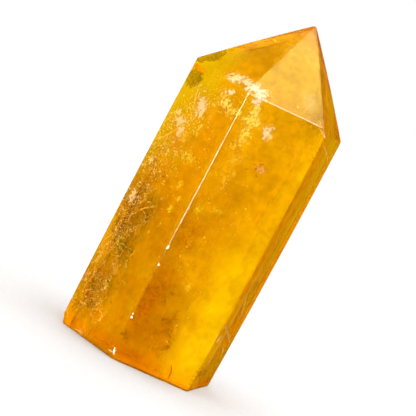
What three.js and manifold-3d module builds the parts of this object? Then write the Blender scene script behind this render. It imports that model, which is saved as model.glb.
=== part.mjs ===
// A polished point of yellow fluorite, cut from one stone: a six-sided column that stands
// on its sawn base and ends in six facets that meet at a tip. It was ground by hand, so no
// two walls are quite alike, each one bulges a little along its length, and its edges are
// eased. Millimetres, +Z up, with the origin in the middle of the base.

import * as THREE from 'three';
import { mergeVertices } from 'three/addons/utils/BufferGeometryUtils.js';
import Module from 'manifold-3d';

// Driving dimensions -----------------------------------------------------------------

// The tip: where the six facets meet, and how much of that sharp point is worn off.
const TIP = new THREE.Vector3(2.8, -0.8, 80);
const TIP_WEAR = 0.3;

// The six facets of the point, each of which runs down from the tip, in order round the
// stone from the back right one. azimuth (degrees) is the way a facet faces, and pitch
// (degrees) is how far it looks up.
const FACETS = [
  { azimuth: 28.5, pitch: 37.6 },
  { azimuth: 89.0, pitch: 42.0 },
  { azimuth: 148.5, pitch: 44.9 },
  { azimuth: 212.1, pitch: 44.7 },
  { azimuth: 270.1, pitch: 40.6 },
  { azimuth: 330.7, pitch: 36.5 },
];

// The column. A wall's distance from the axis is measured at GAUGE_HEIGHT. Halfway up, a
// wall stands CROWN further out than a straight line from the base to the shoulder.
const COLUMN_HEIGHT = 62;
const GAUGE_HEIGHT = 32;
const CROWN = 0.21;

// The walls below the facets, in the same order. lean (degrees) tilts a wall to look up.
// low and high are the height of the bevel round the base at the wall's first and last
// corner, and slope is that bevel's width across the base for each millimetre of height.
const WALLS = [
  { azimuth: 30.4, distance: 16.4, lean: -1.0, low: 0.4, high: 0.9, slope: 0.5 },
  { azimuth: 90.3, distance: 15.7, lean: 0.3, low: 0.9, high: 1.3, slope: 0.5 },
  { azimuth: 151.4, distance: 15.15, lean: 0.95, low: 1.3, high: 2.0, slope: 0.4 },
  { azimuth: 209.7, distance: 15.6, lean: 0.45, low: 0.4, high: 1.5, slope: 0.55 },
  { azimuth: 270.8, distance: 16.2, lean: -0.5, low: 0.7, high: 0.3, slope: 0.4 },
  { azimuth: 330.8, distance: 16.62, lean: -1.55, low: 0.3, high: 0.2, slope: 0.5 },
];

// How deep the upright edges are eased.
const EDGE_EASE = 0.09;

// Chips knocked out of the edge that ends CHIPPED_WALL: height up the edge and radius.
const CHIPPED_WALL = 3;
const CHIPS = [
  { height: 25.9, radius: 0.5 },
  { height: 21.8, radius: 0.35 },
  { height: 10.0, radius: 0.55 },
  { height: 1.6, radius: 0.45 },
];

// The rough stock, which is larger than the finished stone all round, and the blocks that
// grind it down.
const STOCK_RADIUS = 26;
const STOCK_HEIGHT = TIP.z + 4;
const CUTTER_REACH = 60;
const CUTTER_OVERRUN = 2;
const CUTTER_STEPS = 8;
const SCOOP_DETAIL = 2;

// Solids -----------------------------------------------------------------------------

const wasm = await Module();
wasm.setup();

// Turns a closed three.js geometry into a solid that can be cut.
function solidOf(geometry) {
  geometry.deleteAttribute('normal');
  geometry.deleteAttribute('uv');
  const merged = mergeVertices(geometry, 1e-5);
  const vertProperties = new Float32Array(merged.attributes.position.array);
  const triVerts = new Uint32Array(merged.index.array);
  return new wasm.Manifold(new wasm.Mesh({ numProp: 3, vertProperties, triVerts }));
}

// Turns a finished solid back into a flat-shaded three.js geometry.
function geometryOf(solid) {
  const { vertProperties, triVerts } = solid.getMesh();
  const geometry = new THREE.BufferGeometry();
  geometry.setAttribute('position', new THREE.BufferAttribute(vertProperties, 3));
  geometry.setIndex(new THREE.BufferAttribute(triVerts, 1));
  return geometry;
}

// The horizontal direction that an azimuth in degrees looks along.
function outward(azimuth) {
  const angle = THREE.MathUtils.degToRad(azimuth);
  return new THREE.Vector3(Math.cos(angle), Math.sin(angle), 0);
}

// How far the crown adds to a wall's distance at a height.
function crownAt(height) {
  const half = COLUMN_HEIGHT / 2;
  return CROWN * (1 - ((height - half) / half) ** 2);
}

// A wall's distance from the axis at a height, with its lean but without its crown.
function reachOf(wall, height) {
  return wall.distance - (height - GAUGE_HEIGHT) * Math.tan(THREE.MathUtils.degToRad(wall.lean));
}

// The wall that follows wall number i round the column.
function nextWall(i) {
  return WALLS[(i + 1) % WALLS.length];
}

// The point at a height where wall number i meets the next one: each wall is a line in
// plan, outward(azimuth) . point = reach, and the two lines are solved for their crossing.
function cornerOf(i, height) {
  const first = outward(WALLS[i].azimuth);
  const second = outward(nextWall(i).azimuth);
  const firstReach = reachOf(WALLS[i], height);
  const secondReach = reachOf(nextWall(i), height);
  const cross = first.x * second.y - first.y * second.x;
  const x = (firstReach * second.y - secondReach * first.y) / cross;
  const y = (secondReach * first.x - firstReach * second.x) / cross;
  return new THREE.Vector3(x, y, height);
}

// A block that grinds one side of the column: it takes away everything that lies further
// out along the azimuth than reach(height).
function sideCutter(azimuth, reach) {
  const low = -CUTTER_OVERRUN;
  const high = STOCK_HEIGHT + CUTTER_OVERRUN;
  const outline = new THREE.Shape();
  outline.moveTo(CUTTER_REACH, high);
  outline.lineTo(CUTTER_REACH, low);
  outline.lineTo(reach(low), low);
  for (let step = 0; step <= CUTTER_STEPS; step++) {
    const height = (COLUMN_HEIGHT * step) / CUTTER_STEPS;
    outline.lineTo(reach(height), height);
  }
  outline.lineTo(reach(high), high);
  outline.closePath();

  const block = new THREE.ExtrudeGeometry(outline, { depth: CUTTER_REACH, bevelEnabled: false });
  block.translate(0, 0, -CUTTER_REACH / 2);
  const out = outward(azimuth);
  const up = new THREE.Vector3(0, 0, 1);
  const along = new THREE.Vector3().crossVectors(out, up);
  block.applyMatrix4(new THREE.Matrix4().makeBasis(out, up, along));
  return solidOf(block);
}

// A block that takes away everything on the side of a plane that its normal points to.
function planeCutter(normal, point) {
  const block = new THREE.BoxGeometry(2 * CUTTER_REACH, 2 * CUTTER_REACH, CUTTER_REACH);
  block.translate(0, 0, CUTTER_REACH / 2);
  const turn = new THREE.Quaternion().setFromUnitVectors(new THREE.Vector3(0, 0, 1), normal);
  block.applyQuaternion(turn);
  block.translate(point.x, point.y, point.z);
  return solidOf(block);
}

// The unit normal of the plane through three points, turned to look away from the stone's
// middle.
function normalThrough(a, b, c) {
  const normal = new THREE.Plane().setFromCoplanarPoints(a, b, c).normal;
  const middle = new THREE.Vector3(0, 0, COLUMN_HEIGHT / 2);
  const away = normal.dot(a.clone().sub(middle));
  return away < 0 ? normal.negate() : normal;
}

// The stone -------------------------------------------------------------------------

function roughStock() {
  const outline = new THREE.Shape();
  outline.absarc(0, 0, STOCK_RADIUS, 0, 2 * Math.PI);
  return solidOf(new THREE.ExtrudeGeometry(outline, { depth: STOCK_HEIGHT, bevelEnabled: false }));
}

// The six walls, and the narrow flats that ease the edges between them.
function grindColumn(stone) {
  WALLS.forEach((wall, i) => {
    const wallReach = (height) => reachOf(wall, height) + crownAt(height);
    stone = stone.subtract(sideCutter(wall.azimuth, wallReach));

    const turn = (nextWall(i).azimuth - wall.azimuth + 360) % 360;
    const edgeAzimuth = wall.azimuth + turn / 2;
    const out = outward(edgeAzimuth);
    const spread = Math.cos(THREE.MathUtils.degToRad(turn / 2));
    const edgeReach = (height) => cornerOf(i, height).dot(out) + crownAt(height) / spread - EDGE_EASE;
    stone = stone.subtract(sideCutter(edgeAzimuth, edgeReach));
  });
  return stone;
}

// The six facets of the point, which all pass through the tip, and the blunt end.
function grindPoint(stone) {
  const up = new THREE.Vector3(0, 0, 1);
  for (const facet of FACETS) {
    const pitch = THREE.MathUtils.degToRad(facet.pitch);
    const normal = outward(facet.azimuth).multiplyScalar(Math.cos(pitch));
    normal.addScaledVector(up, Math.sin(pitch));
    stone = stone.subtract(planeCutter(normal, TIP));
  }
  const worn = TIP.clone().addScaledVector(up, -TIP_WEAR);
  return stone.subtract(planeCutter(up, worn));
}

// The bevels round the base. Each one starts low at one corner and ends high at the other.
function bevelBase(stone) {
  WALLS.forEach((wall, i) => {
    const before = (i + WALLS.length - 1) % WALLS.length;
    const start = cornerOf(before, wall.low);
    const end = cornerOf(i, wall.high);
    const inset = (wall.slope * (wall.low + wall.high)) / 2;
    const under = start.clone().add(end).multiplyScalar(0.5).setZ(0);
    under.addScaledVector(outward(wall.azimuth), -inset);
    stone = stone.subtract(planeCutter(normalThrough(start, end, under), under));
  });
  return stone;
}

// The chips along the worn edge, each a shallow scoop.
function knockChips(stone) {
  for (const chip of CHIPS) {
    const scoop = new THREE.IcosahedronGeometry(chip.radius, SCOOP_DETAIL);
    const middle = cornerOf(CHIPPED_WALL, chip.height);
    const out = middle.clone().setZ(0).normalize();
    middle.addScaledVector(out, crownAt(chip.height));
    scoop.translate(middle.x, middle.y, middle.z);
    stone = stone.subtract(solidOf(scoop));
  }
  return stone;
}

const stone = knockChips(bevelBase(grindPoint(grindColumn(roughStock()))));

const fluorite = new THREE.MeshStandardMaterial({ color: 0xf0a500, roughness: 0.08, metalness: 0 });
const tower = new THREE.Mesh(geometryOf(stone), fluorite);
tower.name = 'fluorite_tower';

const group = new THREE.Group();
group.add(tower);

export default group;
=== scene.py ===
"""A polished tower of golden yellow fluorite, standing on a pale studio floor.

The crystal is one stone. Its skin is worked out from the planes that the cutter ground,
and what lies inside it, the clouds, the flecks and the healed cracks, are thin surfaces.
"""

import math

import bpy
import numpy as np
from mathutils import Matrix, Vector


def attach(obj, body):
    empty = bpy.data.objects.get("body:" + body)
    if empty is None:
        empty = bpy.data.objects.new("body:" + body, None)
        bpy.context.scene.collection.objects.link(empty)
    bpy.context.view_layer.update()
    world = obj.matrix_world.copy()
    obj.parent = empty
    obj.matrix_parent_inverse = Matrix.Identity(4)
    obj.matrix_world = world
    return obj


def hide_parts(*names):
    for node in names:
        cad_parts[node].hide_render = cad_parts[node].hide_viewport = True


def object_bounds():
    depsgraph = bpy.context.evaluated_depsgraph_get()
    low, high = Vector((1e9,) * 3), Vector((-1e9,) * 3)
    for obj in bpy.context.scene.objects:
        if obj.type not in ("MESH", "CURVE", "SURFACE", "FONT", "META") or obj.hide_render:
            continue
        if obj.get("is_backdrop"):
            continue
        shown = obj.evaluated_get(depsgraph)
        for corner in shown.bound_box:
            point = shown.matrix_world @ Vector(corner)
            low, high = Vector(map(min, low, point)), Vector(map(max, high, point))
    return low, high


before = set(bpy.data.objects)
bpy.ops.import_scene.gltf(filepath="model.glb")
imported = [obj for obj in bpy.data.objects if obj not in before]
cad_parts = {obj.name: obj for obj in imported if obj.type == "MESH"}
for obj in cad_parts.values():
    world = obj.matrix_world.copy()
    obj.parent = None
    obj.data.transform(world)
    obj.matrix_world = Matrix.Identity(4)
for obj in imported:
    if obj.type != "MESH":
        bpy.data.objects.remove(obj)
cad_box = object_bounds()
MM = 0.001


# The polished stone ------------------------------------------------------------------
# One lump of fluorite, sawn to a column and ground by hand on a flat lap: six walls, six
# facets that meet at the tip, a flat base and a narrow bevel round it. The lap rolls the
# edges a little and leaves every face slightly domed.

# Sizes in millimetres. The walls' distances are measured at the gauge height.
TIP = np.array([2.8, -0.8, 80.0])
FOOT = np.array([0.3, -0.2, 0.0])
TIP_WEAR = 0.3
COLUMN_HEIGHT = 62.0
COLUMN_RADIUS = 18.0
GAUGE_HEIGHT = 32.0
WALL_CROWN = 0.21
FACET_CROWN = 0.18
EDGE_RADIUS = 0.15

# Walls from the back right one round: azimuth in degrees, distance, lean in degrees, then
# the bevel's height at the wall's two ends and its width for each millimetre of height.
WALLS = np.array(
    [
        [30.4, 16.4, -1.0, 0.4, 0.9, 0.5],
        [90.3, 15.7, 0.3, 0.9, 1.3, 0.5],
        [151.4, 15.15, 0.95, 1.3, 2.0, 0.4],
        [209.7, 15.6, 0.45, 0.4, 1.5, 0.55],
        [270.8, 16.2, -0.5, 0.7, 0.3, 0.4],
        [330.8, 16.62, -1.55, 0.3, 0.2, 0.5],
    ]
)

# The facets above them: the azimuth that each one faces and its pitch, in degrees.
FACETS = np.array([[28.5, 37.6], [89.0, 42.0], [148.5, 44.9], [212.1, 44.7], [270.1, 40.6], [330.7, 36.5]])

# Chips along the front edge, each of a few overlapping bites: the wall that the edge ends,
# then the bite's height, how far aside it lies on the next wall, and its radius.
CHIPS = np.array(
    [
        [3, 25.9, 0.05, 0.26],
        [3, 25.6, -0.18, 0.18],
        [3, 26.3, 0.12, 0.14],
        [3, 21.9, 0.05, 0.2],
        [3, 22.2, -0.08, 0.14],
        [3, 10.5, 0.0, 0.2],
        [3, 9.7, 0.1, 0.28],
        [3, 9.5, -0.25, 0.2],
        [3, 2.3, -0.1, 0.2],
        [3, 1.8, 0.1, 0.3],
        [3, 1.3, 0.3, 0.24],
    ]
)


def wall_reach(height):
    """How far each wall stands from the axis at a height: its distance, less the rise
    above the gauge height times the tangent of its lean."""
    azimuth, distance, lean = WALLS[:, 0], WALLS[:, 1], WALLS[:, 2]
    return distance - (np.asarray(height)[..., None] - GAUGE_HEIGHT) * np.tan(np.radians(lean))


def wall_corner(height):
    """Where each wall meets the next one at a height: two lines in plan, outward normal
    times point equals reach, solved for their crossing."""
    first = np.radians(WALLS[:, 0])
    second = np.roll(first, -1)
    first_reach = wall_reach(height)
    second_reach = np.roll(first_reach, -1, axis=-1)
    cross = np.sin(second - first)
    x = (first_reach * np.sin(second) - second_reach * np.sin(first)) / cross
    y = (second_reach * np.cos(first) - first_reach * np.cos(second)) / cross
    z = np.broadcast_to(np.asarray(height, float)[..., None], x.shape)
    return np.stack([x, y, z], axis=-1)


def wall_dome(height):
    """How far the walls stand proud at a height: the crown, less its share by the square
    of the way from mid-height to either end."""
    half = COLUMN_HEIGHT / 2
    return WALL_CROWN * (1 - ((height - half) / half) ** 2)


def directions(azimuth, pitch):
    """Unit vectors for azimuths and pitches in degrees."""
    azimuth, pitch = np.broadcast_arrays(np.radians(azimuth), np.radians(pitch))
    level = np.cos(pitch)
    return np.stack([level * np.cos(azimuth), level * np.sin(azimuth), np.sin(pitch)], axis=-1)


def bevel_planes():
    """Normals and distances of the bevels: each plane goes through the wall's two corners
    at the bevel's heights and a point of the base that lies slope times height inside."""
    corners = [wall_corner(h) for h in np.column_stack([WALLS[:, 3], WALLS[:, 4]]).ravel()]
    start = np.array([corners[2 * i][i - 1] for i in range(6)])
    end = np.array([corners[2 * i + 1][i] for i in range(6)])
    inset = WALLS[:, 5] * (WALLS[:, 3] + WALLS[:, 4]) / 2
    under = (start + end) / 2 * [1, 1, 0] - inset[:, None] * directions(WALLS[:, 0], 0)
    normal = np.cross(end - start, under - start)
    normal /= np.linalg.norm(normal, axis=1, keepdims=True)
    normal *= np.where((normal * directions(WALLS[:, 0], 0)).sum(1) < 0, -1, 1)[:, None]
    return normal, (normal * under).sum(1)


WALL_NORMALS = directions(WALLS[:, 0], WALLS[:, 2])
WALL_LEANS = np.radians(WALLS[:, 2])
WALL_OFFSETS = WALLS[:, 1] * np.cos(WALL_LEANS) + GAUGE_HEIGHT * np.sin(WALL_LEANS)
FACET_NORMALS = directions(FACETS[:, 0], FACETS[:, 1])
FACET_OFFSETS = FACET_NORMALS @ TIP
BEVEL_NORMALS, BEVEL_OFFSETS = bevel_planes()
END_NORMALS = np.array([[0, 0, -1.0], [0, 0, 1.0]])
END_OFFSETS = np.array([0, TIP[2] - TIP_WEAR])

# The faces are counted in this order: walls, facets, bevels, base and worn tip.
NORMALS = np.concatenate([WALL_NORMALS, FACET_NORMALS, BEVEL_NORMALS, END_NORMALS])
OFFSETS = np.concatenate([WALL_OFFSETS, FACET_OFFSETS, BEVEL_OFFSETS, END_OFFSETS])
WALL, FACET, BEVEL = slice(0, 6), slice(6, 12), slice(12, 18)
SIDES = slice(0, 18)

# Each facet's middle, weighted towards the tip, and how far its dome reaches from there.
TIP_SHARE = 1.6
SHOULDER_CORNERS = wall_corner(COLUMN_HEIGHT)
FACET_MIDDLES = SHOULDER_CORNERS + np.roll(SHOULDER_CORNERS, 1, axis=0) + TIP_SHARE * TIP
FACET_MIDDLES /= 2 + TIP_SHARE
FACET_SPREAD = np.linalg.norm(FACET_MIDDLES - TIP, axis=1)

CHIPPED_WALLS = CHIPS[:, 0].astype(int)
CHIP_MIDDLES = np.array([wall_corner(height)[i] for i, height in zip(CHIPPED_WALLS, CHIPS[:, 1])])
CHIP_MIDDLES[:, :2] *= 1 + wall_dome(CHIP_MIDDLES[:, 2:]) / COLUMN_RADIUS
CHIP_MIDDLES += CHIPS[:, 2:3] * directions(WALLS[(CHIPPED_WALLS + 1) % 6, 0] + 90, 0)
CHIP_RADII = CHIPS[:, 3]
CHIP_RIM = 0.03


def plane_heights(points):
    """How far points lie outside each ground plane, less the dome of that face."""
    heights = points @ NORMALS.T - OFFSETS
    heights[..., WALL] -= wall_dome(points[..., 2:])
    for i, (middle, spread) in enumerate(zip(FACET_MIDDLES, FACET_SPREAD)):
        away = ((points - middle) ** 2).sum(-1) / spread**2
        heights[..., FACET.start + i] -= FACET_CROWN * (1 - away)
    return heights


def depth_outside(points):
    """Positive outside the stone and nothing on its skin: the root of the summed squares
    of what each plane's height has above minus the edge radius, less that radius. Chips
    take away what lies within their radius of their middle."""
    over = np.maximum(plane_heights(points) + EDGE_RADIUS, 0)
    outside = np.sqrt((over**2).sum(-1)) - EDGE_RADIUS
    for middle, radius in zip(CHIP_MIDDLES, CHIP_RADII):
        outside = np.maximum(outside, radius - np.linalg.norm(points - middle, axis=-1))
    return outside


def pole(height):
    """The line inside the stone from the middle of the base to the tip."""
    return FOOT + np.asarray(height)[..., None] / TIP[2] * (TIP - FOOT)


def level_way(angle):
    """Level unit vectors along angles in radians."""
    return np.stack([np.cos(angle), np.sin(angle), 0 * angle], axis=-1)


def sharp_reach(angle, height, planes):
    """How far the sharp stone reaches from the pole along an angle at a height: the least,
    over the planes that lie ahead, of the room to a plane over how fast the way closes it."""
    room = OFFSETS[planes] - pole(height) @ NORMALS[planes].T
    closing = level_way(angle) @ NORMALS[planes].T
    return np.where(closing > 1e-6, room / np.maximum(closing, 1e-6), np.inf).min(-1)


# Enough to place the skin within a billionth of a millimetre.
HALVINGS = 34


def turning_place(shape, low, high, goes_on):
    """Where a test turns false between low and high, for a whole array at once: the span is
    halved again and again, and the half that holds the turn is kept."""
    low = np.full(shape, float(low))
    high = np.full(shape, float(high))
    for _ in range(HALVINGS):
        middle = (low + high) / 2
        onward = goes_on(middle)
        low = np.where(onward, middle, low)
        high = np.where(onward, high, middle)
    return (low + high) / 2


def meeting_height(angle, lower, upper, low, high):
    """The height at which two sets of planes reach equally far along an angle."""

    def lower_is_nearer(height):
        return sharp_reach(angle, height, lower) < sharp_reach(angle, height, upper)

    return turning_place(angle.shape, low, high, lower_is_nearer)


GROWTH = 1.22


def crowded(start, near, count):
    """Steps from 0 to 1: at both ends near of them grow by a fixed factor from the start
    width, and the rest between them are even."""
    ends = np.concatenate([[0], start * np.cumsum(GROWTH ** np.arange(near))])
    middle = np.linspace(ends[-1], 1 - ends[-1], count + 2)[1:-1]
    return np.concatenate([ends, middle, 1 - ends[::-1]])


# The grid of the skin: columns across each side, and rows over the base, up the bevel, up
# the walls, with more round the chips, and up the facets.
SIDE_STEPS = crowded(0.003, 14, 16)[:-1]
SIDE = len(SIDE_STEPS)
BASE_SHARES = (0.25, 0.5, 0.7, 0.84, 0.92, 0.96, 0.975, 0.985, 0.991, 0.996)
BEVEL_STEPS = np.linspace(0, 1, 9)[:-1]
BEVEL_ROW = len(BASE_SHARES) + len(BEVEL_STEPS) - 1
WALL_FOOT = 1.0
WALL_LENGTH = 60.8
CHIP_ROWS = np.linspace(-0.013, 0.013, 27)
CHIP_STEPS = [(height - WALL_FOOT) / WALL_LENGTH + CHIP_ROWS for height in (25.9, 22.0, 9.9)]
WALL_STEPS = np.unique(np.concatenate([crowded(0.0016, 12, 60), *CHIP_STEPS]))
SHOULDER_ROW = BEVEL_ROW + len(WALL_STEPS)
FACET_STEPS = crowded(0.005, 12, 20)[1:]

# The columns follow the walls' corners up to the turn and the facets' edges above it. The
# skin is looked for from the pole, between the lookout heights.
TURN_HEIGHT = 60.2
TURN_LENGTH = 2.0
MID_HEIGHT = 30.0
LOOKOUT_LOW, LOOKOUT_HIGH = 8, 58


def corner_angles(height):
    """The angles at which the pole sees the six corners of the slice at a height: wall
    corners up to the shoulder, the edges of the facets above it."""
    seen = wall_corner(height) - pole(height)[..., None, :]
    wall_angles = np.arctan2(seen[..., 1], seen[..., 0])
    edges = np.cross(FACET_NORMALS, np.roll(FACET_NORMALS, -1, axis=0))
    edges *= -np.sign(edges[:, 2:])
    drop = (TIP[2] - height)[..., None, None] / -edges[:, 2:]
    seen = TIP + edges * drop - pole(height)[..., None, :]
    facet_angles = np.arctan2(seen[..., 1], seen[..., 0])
    blend = np.clip((height - TURN_HEIGHT) / TURN_LENGTH, 0, 1)[..., None]
    turn = np.angle(np.exp(1j * (facet_angles - wall_angles)))
    return np.unwrap(wall_angles + blend * turn, axis=-1)


def skin_targets():
    """A grid of points on the sharp stone, rows from the middle of the base to the tip and
    columns round it, crowded at the edges, and for each a point inside to look from."""
    side = np.arange(6).repeat(SIDE)
    share = np.tile(SIDE_STEPS, 6)
    pick = np.arange(len(side))

    def angles(height):
        corners = corner_angles(height)
        following = np.concatenate([corners[:, 1:], corners[:, :1] + 2 * np.pi], axis=-1)
        first = corners[pick, side]
        return first + share * (following[pick, side] - first)

    nominal = angles(np.full(len(side), MID_HEIGHT))
    shoulder = meeting_height(nominal, WALL, FACET, 50, 75)
    bevel_top = meeting_height(nominal, BEVEL, WALL, 0, 4)

    base = np.zeros(len(side))
    foot = sharp_reach(angles(base), base, SIDES)[:, None] * level_way(angles(base))
    rows = [pole(base) + out * foot for out in BASE_SHARES]
    insides = [pole(base + LOOKOUT_LOW) for out in BASE_SHARES]
    heights = [bevel_top * step for step in BEVEL_STEPS]
    heights += [bevel_top + (shoulder - bevel_top) * step for step in WALL_STEPS]
    top = TIP[2] - TIP_WEAR / 2
    heights += [shoulder + (top - shoulder) * step for step in FACET_STEPS]
    for height in heights:
        reach = sharp_reach(angles(height), height, SIDES)
        rows.append(pole(height) + reach[:, None] * level_way(angles(height)))
        insides.append(pole(np.clip(height, LOOKOUT_LOW, LOOKOUT_HIGH)))
    return np.array(rows), np.array(insides)


def skin_points():
    """The skin: along the line from each inside point through its target, the place where
    depth_outside is nothing."""
    targets, insides = skin_targets()
    ways = targets - insides

    def is_inside(share):
        return depth_outside(insides + share[..., None] * ways) < 0

    share = turning_place(targets.shape[:2], 0.6, 1.3, is_inside)
    return insides + share[..., None] * ways


def skin_normals(points):
    """The slope of depth_outside, from differences of a hundredth of a millimetre."""
    step = 0.01
    ways = step * np.eye(3)
    slope = [depth_outside(points + way) - depth_outside(points - way) for way in ways]
    slope = np.stack(slope, axis=-1)
    return slope / np.linalg.norm(slope, axis=-1, keepdims=True)


def closed_mesh(name, rings, bottom, top):
    """A closed skin from a grid of rings, with a fan of triangles to a point at each end."""
    count, around = rings.shape[:2]
    grid = np.arange(count * around).reshape(count, around)
    onward = np.roll(grid, -1, axis=1)
    quads = np.stack([grid[:-1], onward[:-1], onward[1:], grid[1:]], axis=-1).reshape(-1, 4)
    low, high = count * around, count * around + 1
    floor_fan = np.stack([np.full(around, low), onward[0], grid[0]], axis=-1)
    tip_fan = np.stack([np.full(around, high), grid[-1], onward[-1]], axis=-1)
    points = np.concatenate([rings.reshape(-1, 3), [bottom, top]]) * MM
    mesh = bpy.data.meshes.new(name)
    mesh.from_pydata(points, [], quads.tolist() + floor_fan.tolist() + tip_fan.tolist())
    mesh.update()
    return mesh


def in_scene(name, data):
    """The object for a mesh or a camera, linked into the scene."""
    made = bpy.data.objects.new(name, data)
    bpy.context.scene.collection.objects.link(made)
    return made


rings = skin_points()
bottom = pole(np.array(0.0))
top = np.array([TIP[0], TIP[1], TIP[2] - TIP_WEAR])
stone_mesh = closed_mesh("fluorite_crystal", rings, bottom, top)
stone_mesh.polygons.foreach_set("use_smooth", np.ones(len(stone_mesh.polygons), bool))
normals = np.concatenate([skin_normals(rings).reshape(-1, 3), END_NORMALS])
stone_mesh.normals_split_custom_set_from_vertices(normals)

stone = in_scene("fluorite_crystal", stone_mesh)
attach(stone, "root")
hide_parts("fluorite_tower")


def put(tree, kind, inputs=None, **settings):
    """A node on a tree, with its settings, and its inputs as values or other nodes' outputs."""
    made = tree.nodes.new("ShaderNode" + kind)
    for name, value in settings.items():
        setattr(made, name, value)
    for key, value in (inputs or {}).items():
        if isinstance(value, bpy.types.NodeSocket):
            tree.links.new(value, made.inputs[key])
        else:
            made.inputs[key].default_value = value
    return made


def sums(tree, operation, *values):
    """The output of a Math node."""
    return put(tree, "Math", dict(enumerate(values)), operation=operation).outputs[0]


def times(tree, first, second):
    """Two values multiplied."""
    return sums(tree, "MULTIPLY", first, second)


def vectors(tree, operation, *values):
    """The output of a Vector Math node, which is a number where it gives one."""
    node = put(tree, "VectorMath", dict(enumerate(values)), operation=operation)
    return node.outputs["Value" if operation in ("LENGTH", "DOT_PRODUCT") else "Vector"]


def noise(tree, place, grain, detail=4.0, roughness=0.5):
    """Smooth noise from 0 to 1 with a number of grains to the millimetre."""
    inputs = {"Vector": place, "Scale": grain, "Detail": detail, "Roughness": roughness}
    return put(tree, "TexNoise", inputs).outputs["Fac"]


def ramp(tree, value, low, high, to_low=0.0, to_high=1.0):
    """A smooth change from one value at low to another at high."""
    inputs = {0: value, 1: low, 2: high, 3: to_low, 4: to_high}
    return put(tree, "MapRange", inputs, interpolation_type="SMOOTHSTEP").outputs[0]


def mixed(tree, share, first, second):
    """A second colour laid over a first by a share."""
    node = put(tree, "Mix", {0: share}, data_type="RGBA")
    for socket, value in zip([node.inputs[6], node.inputs[7]], [first, second]):
        if isinstance(value, bpy.types.NodeSocket):
            tree.links.new(value, socket)
        else:
            socket.default_value = (*value, 1)
    return node.outputs[2]


def group(name, output, **inputs):
    """An empty node group with named inputs, each a number, a vector or a colour by its
    default, and one output, a Colour or a Mask: the tree, the sockets that it is given and
    the socket that it fills."""
    made = bpy.data.node_groups.new(name, "ShaderNodeTree")
    for label, default in inputs.items():
        kind = "Float" if isinstance(default, float) else {3: "Vector", 4: "Color"}[len(default)]
        socket = made.interface.new_socket(name=label, in_out="INPUT", socket_type="NodeSocket" + kind)
        socket.default_value = default
    kind = "Color" if output == "Colour" else "Float"
    made.interface.new_socket(name=output, in_out="OUTPUT", socket_type="NodeSocket" + kind)
    given = made.nodes.new("NodeGroupInput").outputs
    return made, given, made.nodes.new("NodeGroupOutput").inputs[output]


def placed(tree, shared, **values):
    """The output of a shared group, placed on a tree with its own values."""
    return put(tree, "Group", values, node_tree=shared).outputs[0]


def millimetres(tree):
    """The place in the stone in millimetres."""
    place = put(tree, "TexCoord").outputs["Object"]
    return vectors(tree, "MULTIPLY", place, (1000.0, 1000.0, 1000.0))


ORIGIN = (0, 0, 0)
WHITE = (1, 1, 1, 1)
# What smooth noise seldom goes beyond.
NOISE_SPAN = (0.35, 0.65)

# Two colours that noise mixes, as no part of a stone is of one flat colour.
MOTTLED, given, filled = group("mottled", "Colour", Place=ORIGIN, Grain=0.5, First=WHITE, Second=WHITE)
shade = ramp(MOTTLED, noise(MOTTLED, given["Place"], given["Grain"]), *NOISE_SPAN)
MOTTLED.links.new(mixed(MOTTLED, shade, given["First"], given["Second"]), filled)

# A cloudy zone: 1 at its centre and 0 at its size away, with a border that wanders.
ZONE, given, filled = group(
    "cloudy_zone", "Mask", Place=ORIGIN, Centre=ORIGIN, Size=(5, 5, 5), Wander=0.6, Grain=0.25, Hardness=0.2
)
drift = put(ZONE, "TexNoise", {"Vector": given["Place"], "Scale": given["Grain"], "Detail": 4.0})
drift = vectors(ZONE, "SUBTRACT", drift.outputs["Color"], (0.5, 0.5, 0.5))
drift = vectors(ZONE, "MULTIPLY", drift, given["Wander"])
away = vectors(ZONE, "DIVIDE", vectors(ZONE, "SUBTRACT", given["Place"], given["Centre"]), given["Size"])
away = vectors(ZONE, "LENGTH", vectors(ZONE, "ADD", away, drift))
ZONE.links.new(ramp(ZONE, away, 1.0, given["Hardness"]), filled)


def finish(name):
    """A new material, its tree, its shader and the place in millimetres."""
    material = bpy.data.materials.new(name)
    material.use_nodes = True
    tree = material.node_tree
    return material, tree, tree.nodes["Principled BSDF"], millimetres(tree)


def matt(name, first, second, grain, cover=None):
    """A dull finish: two mottled colours, and how much of the layer there is."""
    material, tree, shader, place = finish(name)
    colour = placed(tree, MOTTLED, Place=place, Grain=grain, First=(*first, 1), Second=(*second, 1))
    tree.links.new(colour, shader.inputs["Base Color"])
    if cover:
        tree.links.new(cover(tree, place), shader.inputs["Alpha"])
    shader.inputs["Roughness"].default_value = 0.8
    shader.inputs["Specular IOR Level"].default_value = 0.0
    return material


# The clear stone absorbs blue all the way through it. Its skin is tinted besides, which
# colours what is seen through it.
glass, tree, shader, place = finish("golden_fluorite")

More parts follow.
